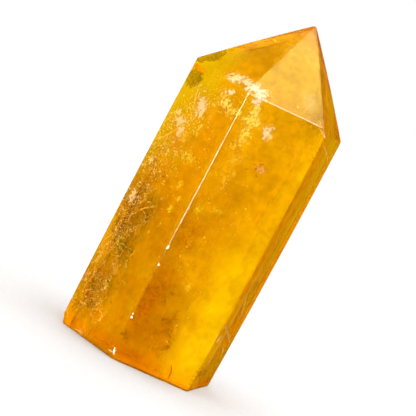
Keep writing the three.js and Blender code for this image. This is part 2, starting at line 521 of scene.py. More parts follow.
# Tints: the face that holds one, or every face, then its colour, its centre and size in
# millimetres, its strength and how far its border wanders. The skin belongs to a face where
# the cosine of the angle between them is within the span.
EVERY_FACE = -1
FACE_SPAN = (0.96, 0.99)
TINTS = [
    (5, (1, 0.55, 0.42), (13, -12, 30), (24, 24, 80), 1, 0.2),
    (4, (1, 1, 0.45), (9.5, -18.5, 16), (8, 5, 30), 1, 0.7),
    (4, (1, 0.88, 0.45), (9, -17, 50), (7.5, 5, 18), 0.95, 0.4),
    (4, (0.6, 0.47, 0.4), (1, -16, 54), (9, 5, 14), 0.8, 0.6),
    (4, (0.5, 0.32, 0.4), (-2, -16, 41), (6, 5, 9), 0.85, 0.6),
    (4, (0.56, 0.24, 0.3), (-6, -17, 12), (8.5, 5, 15), 0.9, 0.5),
    (4, (0.9, 0.47, 0.3), (-2.8, -17, 1.8), (8, 3, 6), 0.9, 0.5),
    (3, (1, 0.77, 0.45), (-10, -14.8, 26), (4.6, 5, 21), 0.95, 0.3),
    (3, (0.76, 0.48, 0.4), (-17, -5, 50), (6, 8, 15), 0.8, 0.4),
    (9, (0.84, 0.56, 0.5), (-10, -9, 65), (8, 8, 7), 0.8, 0.4),
    (3, (1, 0.7, 0.35), (-13, -9, 5), (10, 10, 12), 0.8, 0.6),
    (3, (0.92, 0.62, 0.45), (-17, -4, 22), (6, 6, 32), 0.8, 0.3),
    (EVERY_FACE, (0.84, 0.68, 0.8), (-7, -13, 58), (11, 9, 11), 0.9, 0.4),
    (9, (0.7, 0.44, 0.12), (-6, -7, 67), (11, 11, 11), 0.9, 0.5),
    (9, (1, 0.7, 0.1), (-4, -4.5, 74.5), (8, 8, 6), 0.9, 0.5),
    (10, (0.97, 0.98, 0.64), (5, -9, 69), (26, 26, 34), 1, 0.3),
    (10, (0.8, 0.8, 0.3), (5.5, -2, 78), (5, 5, 8), 0.9, 0.2),
    (11, (1, 0.47, 0.22), (12, -4, 68), (14, 20, 24), 1, 0.3),
    (11, (0.8, 0.38, 0.22), (6.8, -8.6, 70), (4, 8, 12), 0.8, 0.3),
    (15, (0.6, 0.3, 0.3), (-12, -11.5, 0.5), (9, 8, 3), 0.9, 0.1),
    (16, (0.62, 0.3, 0.3), (-3, -16, 0.3), (9, 3, 2), 0.9, 0.2),
]
CLEAR_TINTS = {"First": (0.76, 0.5, 0.4, 1), "Second": (0.93, 0.65, 0.48, 1)}
tint = placed(tree, MOTTLED, Place=place, Grain=0.16, **CLEAR_TINTS)
outward = put(tree, "TexCoord").outputs["Normal"]
for face, colour, centre, size, strength, wander in TINTS:
    share = placed(tree, ZONE, Place=place, Centre=centre, Size=size, Wander=wander)
    share = times(tree, share, strength)
    if face != EVERY_FACE:
        facing = vectors(tree, "DOT_PRODUCT", outward, tuple(NORMALS[face]))
        share = times(tree, share, ramp(tree, facing, *FACE_SPAN))
    tint = mixed(tree, share, tint, colour)
tree.links.new(tint, shader.inputs["Base Color"])

# The polish: hair scratches that run one way, and smears. The rim at the base is glossier.
lengthwise = {"Vector": place, "Rotation": (0.5, 0.9, 0.4), "Scale": (0.25, 5.0, 5.0)}
scratches = noise(tree, put(tree, "Mapping", lengthwise).outputs[0], 1.2, 3.0)
smears = noise(tree, place, 0.12, 3.0)
scratched = ramp(tree, scratches, 0.45, 0.75, 0.0, 0.04)
rough = sums(tree, "ADD", scratched, ramp(tree, smears, 0.3, 0.7, 0.05, 0.12))
above_base = put(tree, "SeparateXYZ", {0: place}).outputs[2]
rough = times(tree, rough, ramp(tree, above_base, 0.02, 0.3, 0.1, 1.0))
tree.links.new(rough, shader.inputs["Roughness"])
shader.inputs["Transmission Weight"].default_value = 1.0
shader.inputs["IOR"].default_value = 1.434
bump = put(tree, "Bump", {"Height": scratches, "Strength": 0.05, "Distance": 0.00001})
tree.links.new(bump.outputs[0], shader.inputs["Normal"])
body = put(tree, "VolumeAbsorption", {"Color": (0.9975, 0.98, 0.0, 1), "Density": 400.0})
tree.links.new(body.outputs["Volume"], tree.nodes["Material Output"].inputs["Volume"])
CLEAR, BRUISED, RUBBED_HIGHLIGHT = 0, 1, 2
stone_mesh.materials.append(glass)
stone_mesh.materials.append(matt("bruised_fluorite", (1.0, 0.98, 0.92), (0.9, 0.8, 0.6), 3.0))
# A pale dull finish for the edges: partly rubbed wear, partly a painted highlight.
stone_mesh.materials.append(matt("rubbed_edge_highlight", (0.62, 0.58, 0.36), (0.50, 0.44, 0.22), 2.0))

# Pale lines along edges, partly where the lap rubbed them dull and partly a painted highlight: the front
# one from its chips to the shoulder, then the shoulder and the ridge to its right, and a little of the
# bevel.
FRONT_EDGE = 3 * SIDE
RIDGE = 4 * SIDE
TOP_CHIP = 26.2
SHOULDER_CLEAR = 8
SECOND_ROW_CLEAR = 24
random = np.random.default_rng(41)
ring_heights = rings[:-1, :, 2]
rub_and_highlight = np.zeros(ring_heights.shape, bool)


def stretches(count, share, run):
    """A share of a row of faces, in stretches of one length."""
    return np.repeat(random.uniform(size=count // run + 1) < share, run)[:count]


front = slice(0, SHOULDER_ROW)
rub_and_highlight[front, FRONT_EDGE] = True
rub_and_highlight[front, FRONT_EDGE - 1] = stretches(SHOULDER_ROW, 0.25, 3)
rub_and_highlight[front] &= ring_heights[front] > TOP_CHIP
rub_and_highlight[SHOULDER_ROW:, RIDGE] = stretches(len(rub_and_highlight) - SHOULDER_ROW, 0.9, 3)
rub_and_highlight[SHOULDER_ROW - 1, FRONT_EDGE + SHOULDER_CLEAR : RIDGE] = True
second_row = slice(FRONT_EDGE + SECOND_ROW_CLEAR, RIDGE)
rub_and_highlight[SHOULDER_ROW, second_row] = stretches(SIDE - SECOND_ROW_CLEAR, 0.3, 3)
rub_and_highlight[BEVEL_ROW, 2 * SIDE : FRONT_EDGE] = stretches(SIDE, 0.35, 4)
finish_of = np.append(np.where(rub_and_highlight, RUBBED_HIGHLIGHT, CLEAR).ravel(), np.full(2 * rings.shape[1], CLEAR))

# A face is bruised where all its corners lie in a chip.
from_chips = np.linalg.norm(rings.reshape(-1, 1, 3) - CHIP_MIDDLES, axis=-1) - CHIP_RADII
chipped = np.append(from_chips.min(axis=1) < CHIP_RIM, [False, False])
corner_of = np.empty(len(stone_mesh.loops), int)
stone_mesh.loops.foreach_get("vertex_index", corner_of)
first_corner = [polygon.loop_start for polygon in stone_mesh.polygons]
in_chip = np.logical_and.reduceat(chipped[corner_of], first_corner)
stone_mesh.polygons.foreach_set("material_index", np.where(in_chip, BRUISED, finish_of))


# The veils ----------------------------------------------------------------------------
# Cracks that healed while the crystal grew, each a thin wavy sheet of tiny cavities. They are one with the
# stone, and the deep ones show as a golden haze. The sheet at the foot is painted light instead.


def face_frame(face):
    """The outward normal of a face, the level way along it and the way up it."""
    normal = NORMALS[face]
    along = np.array([-normal[1], normal[0], 0]) / np.hypot(normal[0], normal[1])
    return normal, along, np.cross(normal, along)


def under_face(face, across, up, depth):
    """A point below a face: across runs round the stone from the face's middle, and up is
    the height on a wall, or the way up the slope from the middle of a facet."""
    normal, along, slope = face_frame(face)
    across, up, depth = (np.asarray(v, float)[..., None] for v in (across, up, depth))
    if face >= FACET.start:
        middle = FACET_MIDDLES[face - FACET.start]
        return middle + across * along + up * slope - depth * normal
    outward = np.array([normal[0], normal[1], 0]) / np.hypot(normal[0], normal[1])
    reach = wall_reach(up[..., 0])[..., face, None] - depth
    return reach * outward + across * along + up * [0, 0, 1.0]


def sheet(middle, side, rise, ripple, count=44):
    """A wavy sheet: middle + u side + v rise, with u and v from -1 to 1, pushed off its
    plane by ripple times the mean of four sine waves of u and v."""
    u, v = np.meshgrid(np.linspace(-1, 1, count), np.linspace(-1, 1, count), indexing="ij")
    side, rise = np.array(side, float), np.array(rise, float)
    normal = np.cross(side, rise)
    normal /= np.linalg.norm(normal)
    waves = random.uniform([1, 1, 0], [4, 4, 6.28], (4, 3))
    lift = sum(np.sin(a * u + b * v + c) for a, b, c in waves) / 4
    points = np.array(middle) + u[..., None] * side + v[..., None] * rise
    points += (ripple * lift)[..., None] * normal
    return points, np.stack([u, v], axis=-1)


def face_sheet(face, across, up, depth, wide, tall, turn=0.0, ripple=0.25, count=24):
    """A sheet below a face, its half width and half height given, turned in the face's own
    plane by turn degrees."""
    along, slope = face_frame(face)[1:]
    turn = math.radians(turn)
    side = math.cos(turn) * along + math.sin(turn) * slope
    rise = math.cos(turn) * slope - math.sin(turn) * along
    return sheet(under_face(face, across, up, depth), wide * side, tall * rise, ripple, count)


# The least depth, in millimetres, of what lies in the stone.
BURIED = 0.12


def kept_inside(grid, middle):
    """Where each point of a sheet stands out of the stone, and the sheet with those points
    drawn towards its middle: by the share of the way at which the first plane is met."""
    here = plane_heights(grid) + BURIED
    start = plane_heights(middle) + BURIED
    share = np.where(here > 0, start / np.minimum(start - here, -1e-6), 1.0).min(-1)
    return here.max(-1) > 0, middle + np.clip(share, 0, 1)[..., None] * (grid - middle)


def sheets_object(name, made, material):
    """One object from several sheets, cut off inside the stone, whose UV map holds u and v
    of each. A sheet whose middle is out of the stone is left out."""
    points, places, faces, start = [], [], [], 0
    for grid, spread in made:
        rows, columns = grid.shape[:2]
        middle = grid[rows // 2, columns // 2]
        if plane_heights(middle).max() > 0:
            continue
        index = start + np.arange(rows * columns).reshape(rows, columns)
        quads = np.stack([index[:-1, :-1], index[1:, :-1], index[1:, 1:], index[:-1, 1:]], axis=-1)
        quads = quads.reshape(-1, 4)
        outside, grid = kept_inside(grid, middle)
        quads = quads[~outside.ravel()[quads - start].all(axis=1)]
        points.append(grid.reshape(-1, 3) * MM)
        places.append(spread.reshape(-1, 2))
        faces.append(quads)
        start += rows * columns
    faces, points, places = np.concatenate(faces), np.concatenate(points), np.concatenate(places)
    used, faces = np.unique(faces, return_inverse=True)
    faces = faces.reshape(-1, 4)
    mesh = bpy.data.meshes.new(name)
    mesh.from_pydata(points[used], [], faces.tolist())
    uv_layer = mesh.uv_layers.new(name="spread")
    uv_layer.data.foreach_set("uv", places[used][faces.ravel()].ravel())
    depths = mesh.attributes.new("depth", "FLOAT", "POINT")
    below = -plane_heights(points[used] / MM)[:, : FACET.stop].max(-1)
    depths.data.foreach_set("value", below)
    mesh.polygons.foreach_set("use_smooth", np.ones(len(faces), bool))
    mesh.materials.append(material)
    return inclusion(name, mesh)


def inclusion(name, mesh):
    """The object for a mesh that lies in the stone."""
    piece = in_scene(name, mesh)
    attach(piece, "root")
    return piece


def spread_on(tree):
    """The u and v of a sheet, read from its UV map."""
    return put(tree, "UVMap", uv_map="spread").outputs[0]


# A mist: smooth noise from thin to thick, full as far as core from the sheet's middle and
# nothing at its rim, by the fourth root of the sum of u and v to the fourth power, and
# thinner where it comes within the fade depth of the skin.
SHEET_INPUTS = {"Place": ORIGIN, "Spread": ORIGIN, "Grain": 0.5, "Thin": 0.5, "Thick": 1.0}
HAZE, given, filled = group("haze", "Mask", **SHEET_INPUTS, Depth=1.0, Core=0.5, Fade=1.3)
cloud = noise(HAZE, given["Place"], given["Grain"], 5.0, 0.6)
cloud = ramp(HAZE, cloud, *NOISE_SPAN, given["Thin"], given["Thick"])
squares = vectors(HAZE, "MULTIPLY", given["Spread"], given["Spread"])
far = sums(HAZE, "SQRT", vectors(HAZE, "LENGTH", squares))
cloud = times(HAZE, cloud, ramp(HAZE, far, 1.0, given["Core"]))
cloud = times(HAZE, cloud, ramp(HAZE, given["Depth"], 0.1, given["Fade"]))
HAZE.links.new(cloud, filled)


def haze(grain, thin, thick, core, fade=1.3):
    """The cover of a mist."""
    values = {"Grain": grain, "Thin": thin, "Thick": thick, "Core": core, "Fade": fade}

    def cover(tree, place):
        depth = put(tree, "Attribute", attribute_name="depth").outputs["Fac"]
        return placed(tree, HAZE, Place=place, Spread=spread_on(tree), Depth=depth, **values)

    return cover


# Deep mists: middle, half width and half height as vectors in millimetres.
MISTS = [
    ((0, 0, 10), (17, 7, 0), (0, 0, 26)),
    ((1, 2, 38), (16, -6, 2), (0, 2, 24)),
    ((1, 0, 60), (13, 3, 0), (0, 1, 17)),
    ((-2, 2, 20), (-8, 12, 0), (0, 0, 32)),
    ((5, 2, 45), (-5, 13, 0), (0, 1, 24)),
    ((5, -6.5, 34), (13, 2, 0), (0, 0, 38)),
    ((-1, -4, 67), (11, -4, 0), (0.5, 2, 10)),
    ((4, -4, 67), (8, 3, 0), (0, 2, 10)),
    ((1.5, -1.5, 72), (7, -2, 0), (0, 1.5, 9)),
]
mist = matt("milky_mist", (0.78, 0.6, 0.36), (0.92, 0.72, 0.42), 0.4, haze(0.15, 0.4, 0.8, 0.55))
sheets_object("milky_veils", [sheet(*row, 1.8) for row in MISTS], mist)
mist = matt("bright_mist", (0.96, 0.83, 0.2), (1, 0.88, 0.25), 0.4, haze(0.12, 0.55, 1, 0.2))
sheets_object("bright_veil", [sheet((9.5, -9.5, 16), (10.5, 1.5, 0), (0, 0, 32), 0.6)], mist)

# Amber mist down both sides of the left edge and under the facet behind it; at the foot, a bright sheet of
# painted light over the shaded floor seen through the base.
mist = matt("amber_mist", (0.82, 0.46, 0), (1, 0.58, 0), 0.3, haze(0.25, 0.55, 0.9, 0.6, 0.4))
left_edge = [face_sheet(face, across, 14, 2.6, 8, 30, ripple=0.3) for face, across in [(3, -7), (2, 6)]]
sheets_object("amber_veils", left_edge, mist)
mist = matt("crown_mist", (0.78, 0.52, 0), (0.88, 0.6, 0), 0.3, haze(0.25, 0.5, 0.9, 0.5))
sheets_object("crown_veil", [face_sheet(8, 0, 1, 1.8, 8, 9)], mist)
# Painted light: a bright golden sheet just above the base, which covers the shadowed floor seen through the
# base.
mist = matt("foot_painted_light", (0.9, 0.52, 0.1), (0.96, 0.62, 0.15), 0.3, haze(0.25, 0.8, 1, 0.9, 0.2))
sheets_object("foot_light_veil", [sheet((0, 0, 0.35), (19, 0, 0), (0, 19, 0), 0.12, 60)], mist)


# The patches --------------------------------------------------------------------------
# Layers on which the crystal stopped growing for a while: olive film and brown seams where dirt settled on
# it, and amber glows. One pale patch under a facet is a painted reflection instead. Each has a ragged
# border and lies near a wall.

# A torn patch: full within about three quarters of the way to the sheet's rim, give or take
# coarse noise times the tear, then mottled from thin to thick.
RAGGED, given, filled = group("ragged_patch", "Mask", **SHEET_INPUTS, Tear=3.0, Soft=0.4)
torn = noise(RAGGED, given["Place"], given["Grain"], 7.0, 0.75)
torn = times(RAGGED, sums(RAGGED, "SUBTRACT", torn, 0.5), given["Tear"])
far = vectors(RAGGED, "LENGTH", given["Spread"])
torn = sums(RAGGED, "ADD", torn, sums(RAGGED, "SUBTRACT", 0.75, far))
torn = times(RAGGED, ramp(RAGGED, torn, 0.0, given["Soft"]), ramp(RAGGED, far, 1.0, 0.85))
mottle = noise(RAGGED, given["Place"], times(RAGGED, given["Grain"], 3.0))
mottle = ramp(RAGGED, mottle, *NOISE_SPAN, given["Thin"], given["Thick"])
RAGGED.links.new(times(RAGGED, torn, mottle), filled)


def ragged(grain, tear, soft, thin, thick):
    """The cover of a torn patch."""
    values = {"Grain": grain, "Tear": tear, "Soft": soft, "Thin": thin, "Thick": thick}

    def cover(tree, place):
        return placed(tree, RAGGED, Place=place, Spread=spread_on(tree), **values)

    return cover


def patches(name, rows, material, ripple=0.2):
    """One object from patches: face, across, up, depth, half width, half height, turn."""
    return sheets_object(name, [face_sheet(*row, ripple) for row in rows], material)


olive = matt("olive_film", (0.52, 0.3, 0), (0.36, 0.25, 0), 0.3, ragged(0.6, 2.4, 0.3, 0.25, 0.58))
OLIVE = [
    (3, -6.6, 35, 1.2, 7, 14.5, 3),
    (3, -4.6, 26, 1, 6.6, 9, 0),
    (3, -6.8, 11, 1.3, 7.4, 10.5, 0),
    (3, -1, 20, 1.1, 3.6, 4.5, 0),
    (3, 0, 12, 1.2, 3.4, 4, 0),
    (3, -0.7, 30, 1.2, 2.6, 4, 0),
    (2, 4, 26, 1.2, 6, 16, 0),
    (0, -3, 22, 1.5, 5, 12, 10),
]
patches("olive_film", OLIVE, olive)
dark = matt("dark_film", (0.26, 0.18, 0), (0.36, 0.24, 0), 0.3, ragged(0.5, 1.5, 0.2, 0.55, 0.8))
patches("dark_films", [(3, -5.9, 58.8, 0.4, 4, 2.9, 25), (9, -8, -7.8, 0.3, 2.8, 4.8, -22)], dark)
orange = matt("orange_band", (0.86, 0.45, 0), (0.78, 0.38, 0), 0.5, ragged(0.6, 1, 0.25, 0.7, 0.95))
patches("orange_bands", [(3, -6, 61, 0.25, 4.4, 1, 0)], orange)
seam = matt("brown_seam", (0.44, 0.16, 0), (0.28, 0.11, 0), 0.8, ragged(1.6, 5, 0.9, 0.35, 0.8))
SEAMS = [
    (4, -5.9, 18.4, 1.4, 1.7, 0.8, -20),
    (4, -3.4, 17.4, 1.5, 1, 1.2, 0),
    (4, -3.9, 15.5, 1.6, 1, 1.9, 0),
    (4, -2.4, 11.8, 1.5, 0.9, 1.6, 0),
    (4, -0.8, 12, 1.8, 1.3, 3.2, -15),
    (4, 0.2, 9.4, 1.6, 1.4, 2, 0),
    (4, 0.8, 6.6, 1.2, 1.2, 1.6, 0),
    (4, -7.8, 5.5, 1.3, 1.6, 1.4, 0),
    (3, -3.6, 6.6, 1.2, 1.4, 1.3, 0),
    (3, -7.2, 5, 0.8, 1.2, 2.4, 0),
    (5, -5, 4, 0.6, 6.5, 4, 0),
    (1, 3, 12, 1.5, 2, 5, 10),
    (0, 2, 8, 1.5, 3, 3, -10),
]
patches("brown_seams", SEAMS, seam)
amber = matt("amber_glow", (1, 0.48, 0), (1, 0.4, 0), 0.5, ragged(0.8, 2.5, 1, 0.3, 0.7))
AMBER = [
    (3, -7.2, 12.6, 0.9, 1.2, 3.6, -10),
    (3, -5.6, 8.6, 0.9, 2, 2.4, 30),
    (3, 1, 6, 1.5, 5.5, 4, 0),
    (4, -3.2, 13.2, 0.8, 0.5, 1.4, 0),
    (3, -6.6, 26, 0.8, 1, 3, 0),
    (1, -4, 30, 1.5, 3, 6, 10),
]
patches("amber_glows", AMBER, amber)
brown = matt("brown_shade", (0.94, 0.42, 0), (0.72, 0.33, 0), 0.25, ragged(0.3, 1, 0.8, 0.4, 0.7))
patches("brown_shades", [(5, -5.8, 28, 0.5, 4.6, 36, 0)], brown)
# A painted reflection: a pale patch under the front facet that stands in for a soft box mirrored in its
# polish.
painted_reflection = matt("painted_softbox_reflection", (1, 0.94, 0.8), (1, 0.88, 0.66), 0.4, ragged(0.4, 1, 0.9, 0.15, 0.4))
patches("painted_softbox_reflections", [(10, 3.2, -5.8, 0.3, 3.6, 5, 20)], painted_reflection)
umber = matt("umber_shade", (0.7, 0.27, 0), (0.48, 0.2, 0), 0.4, ragged(0.5, 1.6, 0.7, 0.35, 0.65))
UMBER = [(4, -7.2, 15, 0.5, 5.2, 14, -3), (4, -1, 9, 0.7, 5, 7.5, 0), (4, -5.2, 30, 0.8, 3.6, 8, 0)]
patches("umber_shades", UMBER, umber)
gilt = matt("gilt_band", (1, 0.6, 0), (0.94, 0.52, 0), 0.3, ragged(0.3, 0.8, 0.5, 0.6, 0.95))
patches("gilt_bands", [(5, 7.6, 33, 0.5, 5.6, 44, 0), (5, 3, 14, 0.7, 7, 12, 0)], gilt)


# The lace -----------------------------------------------------------------------------
# Hair-fine healed cracks in the film and the streaks of longer ones: each a ribbon a few
# hundredths of a millimetre wide that wanders in a plane close below its wall.


def ribbon(face, across, up, depth, width):
    """A flat ribbon along a line of points below a face: the line plus and minus half the
    width times the root of sin(pi t), along the line's own normal in that plane."""
    t = np.linspace(0, 1, len(across))
    way = np.stack([np.gradient(across), np.gradient(up)])
    way /= np.maximum(np.hypot(way[0], way[1]), 1e-9)
    half = width / 2 * np.sqrt(np.maximum(np.sin(np.pi * t), 0.02))
    left = under_face(face, across - half * way[1], up + half * way[0], depth)
    right = under_face(face, across + half * way[1], up - half * way[0], depth)
    spread = [np.stack([2 * t - 1, 0 * t + side], axis=-1) for side in (-1, 1)]
    return np.stack([left, right], axis=1), np.stack(spread, axis=1)


def streak(face, start, end, bow, depth, width):
    """A ribbon from start to end, each across and up, that bows out in the middle."""
    t = np.linspace(0, 1, 24)
    way = np.subtract(end, start)
    out = np.array([-way[1], way[0]]) / np.hypot(*way)
    line = np.outer(1 - t, start) + np.outer(t, end) + np.outer(bow * 4 * t * (1 - t), out)
    line += 0.12 * width * np.sin(np.outer(t * 40, [1.0, 0.7]) + 1)
    return ribbon(face, line[:, 0], line[:, 1], depth, width)


# Widths in millimetres, and how many steps a thread takes.
HAIR_WIDTH = 0.18
THREAD_WIDTH = 0.09
THREAD_STEPS = 22


def feather(face, start, end, bow, depth, spread, count):
    """A bundle of hair-fine streaks that fan out to a spread at the end, all of their own
    length."""
    made = []
    for lift, early, late in random.uniform([-1, 0, 0], [1, 0.3, 0.4], (count, 3)):
        first = np.array(start) + [0, lift * spread / 8]
        way = np.array(end) + [0, lift * spread / 2] - first
        made.append(streak(face, first + early * way, first + (1 - late) * way, bow, depth, HAIR_WIDTH))
    return made


def wandering(face, across, up, depth, length):
    """A thread whose heading is a random walk."""
    turns = [random.uniform(0, 2 * np.pi), *random.normal(0, 0.35, THREAD_STEPS)]
    heading = np.cumsum(turns)[1:]
    step = length / THREAD_STEPS
    across = across + step * np.cumsum(np.cos(heading))
    up = up + step * np.cumsum(np.sin(heading))
    depth = depth + 0.25 * np.sin(np.linspace(0, random.uniform(1, 4), THREAD_STEPS))
    return ribbon(face, across, up, depth, THREAD_WIDTH)


# Noise breaks a ribbon into dashes, where it falls below low.
DASHES, given, filled = group("dashes", "Mask", Place=ORIGIN, Grain=1.0, Low=0.4)
gate = noise(DASHES, given["Place"], given["Grain"], 3.0)
full = sums(DASHES, "ADD", given["Low"], 0.12)
DASHES.links.new(ramp(DASHES, gate, given["Low"], full, 0.0, 0.9), filled)


def dashed(grain, low):
    """The cover of a ribbon in dashes."""
    return lambda tree, place: placed(tree, DASHES, Place=place, Grain=grain, Low=low)


# Nets: face, middle across and up, spread each way, nearest and deepest, count, length.
thread = matt("pale_thread", (1, 1, 0.56), (1, 0.88, 0.34), 0.6, dashed(1.6, 0.4))
NETS = [
    (3, -4.4, 29, 2.9, 9, 0.25, 0.8, 100, 3.2),
    (3, -5.4, 10.5, 2.8, 5.5, 0.25, 0.8, 64, 3),
    (3, -3.5, 46, 3, 5, 0.25, 0.8, 16, 2.2),
    (2, 4, 28, 3, 11, 0.3, 1.6, 60, 3.5),
    (0, -2, 24, 3, 9, 0.5, 2, 30, 3.5),
]
threads = []
for face, across, up, wide, tall, near, deep, count, length in NETS:
    for aside, above, below, longer in random.normal(size=(count, 4)):
        middle = (across + wide * aside, up + tall * above, near + (deep - near) * (abs(below) % 1))
        threads.append(wandering(face, *middle, length * np.exp(0.4 * longer)))
sheets_object("lace_nets", threads, thread)

glint = matt("pale_streak", (1, 0.94, 0.42), (1, 0.84, 0.28), 0.8, dashed(0.8, 0.3))
streaks = [
    *feather(5, (-3.5, 23.9), (5.5, 15.1), 0.3, 0.25, 2.4, 12),
    *feather(5, (-4.6, 14.9), (7.6, 11.3), -0.2, 0.25, 1.6, 9),
    *feather(5, (1.8, 10.6), (6.9, 7.3), 0.2, 0.25, 1.2, 6),
    streak(5, (-7.4, 58.6), (7.7, 55), 0.4, 0.5, 0.25),
    streak(10, (-4.1, 4.3), (-3.2, 4), 0, 0.15, 0.3),
    streak(9, (-2.5, 4.8), (-1.1, 4.3), 0, 0.15, 0.3),
    streak(10, (0.7, -8.5), (1.2, -8.8), 0, 0.15, 0.3),
    streak(3, (-1.8, 52.6), (-3.6, 57.5), 0.3, 0.7, 0.2),
]
sheets_object("pale_streaks", streaks, glint)
glow = matt("amber_streak", (1, 0.7, 0.1), (1, 0.6, 0.06), 0.8, dashed(0.9, 0.36))
streaks = [
    streak(3, (-8.3, 43.6), (-3.4, 48.6), -0.5, 0.5, 0.6),
    streak(3, (-3.2, 28.7), (1, 31.5), 0.3, 0.6, 0.35),
    streak(3, (-6.6, 26), (-2.6, 29.4), -0.4, 0.6, 0.25),
]
sheets_object("amber_streaks", streaks, glow)
rust = matt("rust", (0.42, 0.05, 0), (0.6, 0.1, 0), 0.8, dashed(1.2, 0.3))
sheets_object("rust_cracks", [streak(4, (3.3, 3.9), (4, 0.7), 0.35, 0.3, 0.3)], rust)


# The white clouds ---------------------------------------------------------------------
# Ragged white and pink clouds of cavities where the crystal grew fastest, in an arc under the shoulder, and
# small yellow puffs deeper down. All of them are healed cracks too, but for two small white patches on the
# right wall, which are a painted glint.

white = matt("white_cloud_and_glint", (1, 1, 0.98), (1, 0.9, 0.84), 0.4, ragged(1.3, 4.6, 0.35, 0.85, 1))
CLOUDS_AND_GLINT = [
    (9, 2.3, -9.8, 0.3, 3.4, 1.7, 12),
    (9, 5.2, -9.4, 0.3, 3.2, 1.5, -12),
    (9, 7.6, -10.4, 0.3, 2, 1.5, -30),
    (10, -9, -8.9, 0.3, 2, 1.9, 0),
    (10, -7.4, -9.7, 0.3, 1.9, 2.1, 20),
    (4, -6, 60.9, 0.35, 1.2, 1.8, 0),
    (3, 5.6, 60, 0.6, 1.2, 0.9, 0),
    # The next two, on the right wall, are a painted glint: a white highlight, not cavities.
    (5, -6.4, 12.6, 0.2, 1.7, 1.3, 0),
    (5, -5.6, 15.4, 0.2, 1.1, 0.8, 0),
    (3, -0.1, 54.4, 0.35, 2, 2.6, 15),
    (3, -3.8, 49.6, 0.4, 1.9, 1.5, 0),
    (3, -5.6, 51, 0.6, 1.2, 1, 0),
    (3, -2.4, 47.6, 0.4, 1.4, 1.6, 0),
    (4, -0.9, 56, 0.35, 1.6, 2.3, 8),
    (3, -6.4, 31, 0.35, 1.4, 2, 0),
    (3, -6.5, 39.5, 0.5, 0.9, 1.2, 0),
    (2, 3, 48, 0.5, 1.6, 2.4, 20),
    (2, -2, 54, 0.6, 2, 1.6, -20),
    (1, 2, 44, 0.8, 1.6, 2.4, 10),
    (0, 0, 50, 0.8, 1.8, 1.8, 0),
    (7, 1, -6, 0.5, 2.2, 1.6, 0),
]
patches("white_clouds_and_glint", CLOUDS_AND_GLINT, white)
high_puff = matt("yellow_puff", (1, 0.97, 0.3), (1, 0.9, 0.16), 0.5, ragged(1.6, 5, 0.6, 0.7, 1))
HIGH_PUFFS = [
    (4, -5.4, 58.6, 0.4, 1.4, 2.4, 10),
    (3, 5.6, 57.6, 0.5, 3.6, 1.9, -12),
    (3, 8.4, 56.8, 0.6, 2.6, 1.5, 0),
    (4, -4.8, 56.6, 0.5, 3, 1.6, 10),
    (4, -5.2, 53.6, 0.5, 1.6, 3.2, 5),
]
patches("high_puffs", HIGH_PUFFS, high_puff)
puff = matt("soft_puff", (1, 0.95, 0.32), (1, 0.86, 0.18), 0.5, ragged(1.6, 4.6, 0.9, 0.55, 1))
PUFFS = [
    (4, -4.4, 48, 1.5, 1.2, 1.6, 0),
    (4, -6, 50.6, 1.5, 1, 1.6, 0),
    (4, -4.4, 43.4, 2, 1, 1.6, 0),
    (3, 1.6, 50.4, 1, 1.1, 2, -10),
    (3, -0.7, 46.4, 1, 1, 1.3, 0),
    (3, 1.8, 48.8, 1.2, 0.9, 1.2, 0),
    (3, 3.1, 43.8, 1.3, 1.6, 1.5, -20),
    (3, 0.8, 43.6, 1.5, 1.1, 1.2, 0),
    (3, 4, 38, 1.5, 1.4, 1.6, 0),
    (3, 4.6, 32.8, 1.5, 1.1, 1.8, 0),
    (3, 5.6, 35.6, 1.5, 1, 1.2, 0),
    (4, -3, 45.3, 2, 1.2, 1.2, 0),
    (4, -6.6, 35.7, 2, 1.4, 1.6, 0),
    (4, -2.4, 37, 2, 1.6, 1.2, 0),
    (4, -4.8, 28.6, 2, 1.1, 1.8, 0),
    (4, -0.9, 20, 2, 1.9, 1.6, 0),
    (4, 0.3, 7.9, 0.7, 0.4, 1, 25),
    (3, 0.7, 17.5, 1.2, 1.4, 1.4, 0),
    (3, -1.5, 11.9, 0.8, 1.3, 1.5, 0),
    (3, -4.4, 21.2, 0.8, 1, 1.4, 0),
    (2, -3, 38, 1.2, 2, 2.6, 0),
    (1, 1, 26, 1.5, 2, 3, 0),
    (1, -4, 50, 1, 1.6, 2.2, 0),
    (0, 4, 34, 1.5, 1.6, 2.4, 0),
]
patches("yellow_puffs", PUFFS, puff)


# The crumbs ---------------------------------------------------------------------------
# Thousands of flat cavities and crystal crumbs caught in the stone, in clumps along the
# lace, round the clouds and down the front. Each is a small flake with five uneven corners.


def strewn(face, across, up, wide, tall, near, deep, count, clump):
    """Points below a face in clumps: each clump's middle is normal about the swarm's, and
    each point is normal about its clump's middle."""
    clumps = max(count // clump, 1)
    middles = random.normal(size=(clumps, 2)) * [wide, tall] + [across, up]
    places = middles[random.integers(clumps, size=count)]
    scatter = random.normal(size=(count, 2)) * 0.25 * math.sqrt(clump)
    places = places + scatter * random.uniform(0.3, 1, (count, 1))
    return under_face(face, places[:, 0], places[:, 1], random.uniform(near, deep, count))


CORNERS = 5


def flakes(middle, size):
    """Five corners about each point: near even turns in a random plane, their distances
    uneven, and the flake little more than half as wide as it is long."""
    count = len(middle)
    first = random.normal(size=(count, 3))
    first /= np.linalg.norm(first, axis=1, keepdims=True)
    second = np.cross(first, random.normal(size=(count, 3)))
    second /= np.linalg.norm(second, axis=1, keepdims=True)
    radius = size * random.lognormal(0, 0.45, (count, 1)) * random.uniform(0.5, 1.3, (count, CORNERS))
    turn = np.arange(CORNERS) * 2 * np.pi / CORNERS + random.uniform(-0.4, 0.4, (count, CORNERS))
    corners = middle[:, None] + (radius * np.cos(turn))[..., None] * first[:, None]
    return corners + 0.6 * (radius * np.sin(turn))[..., None] * second[:, None]


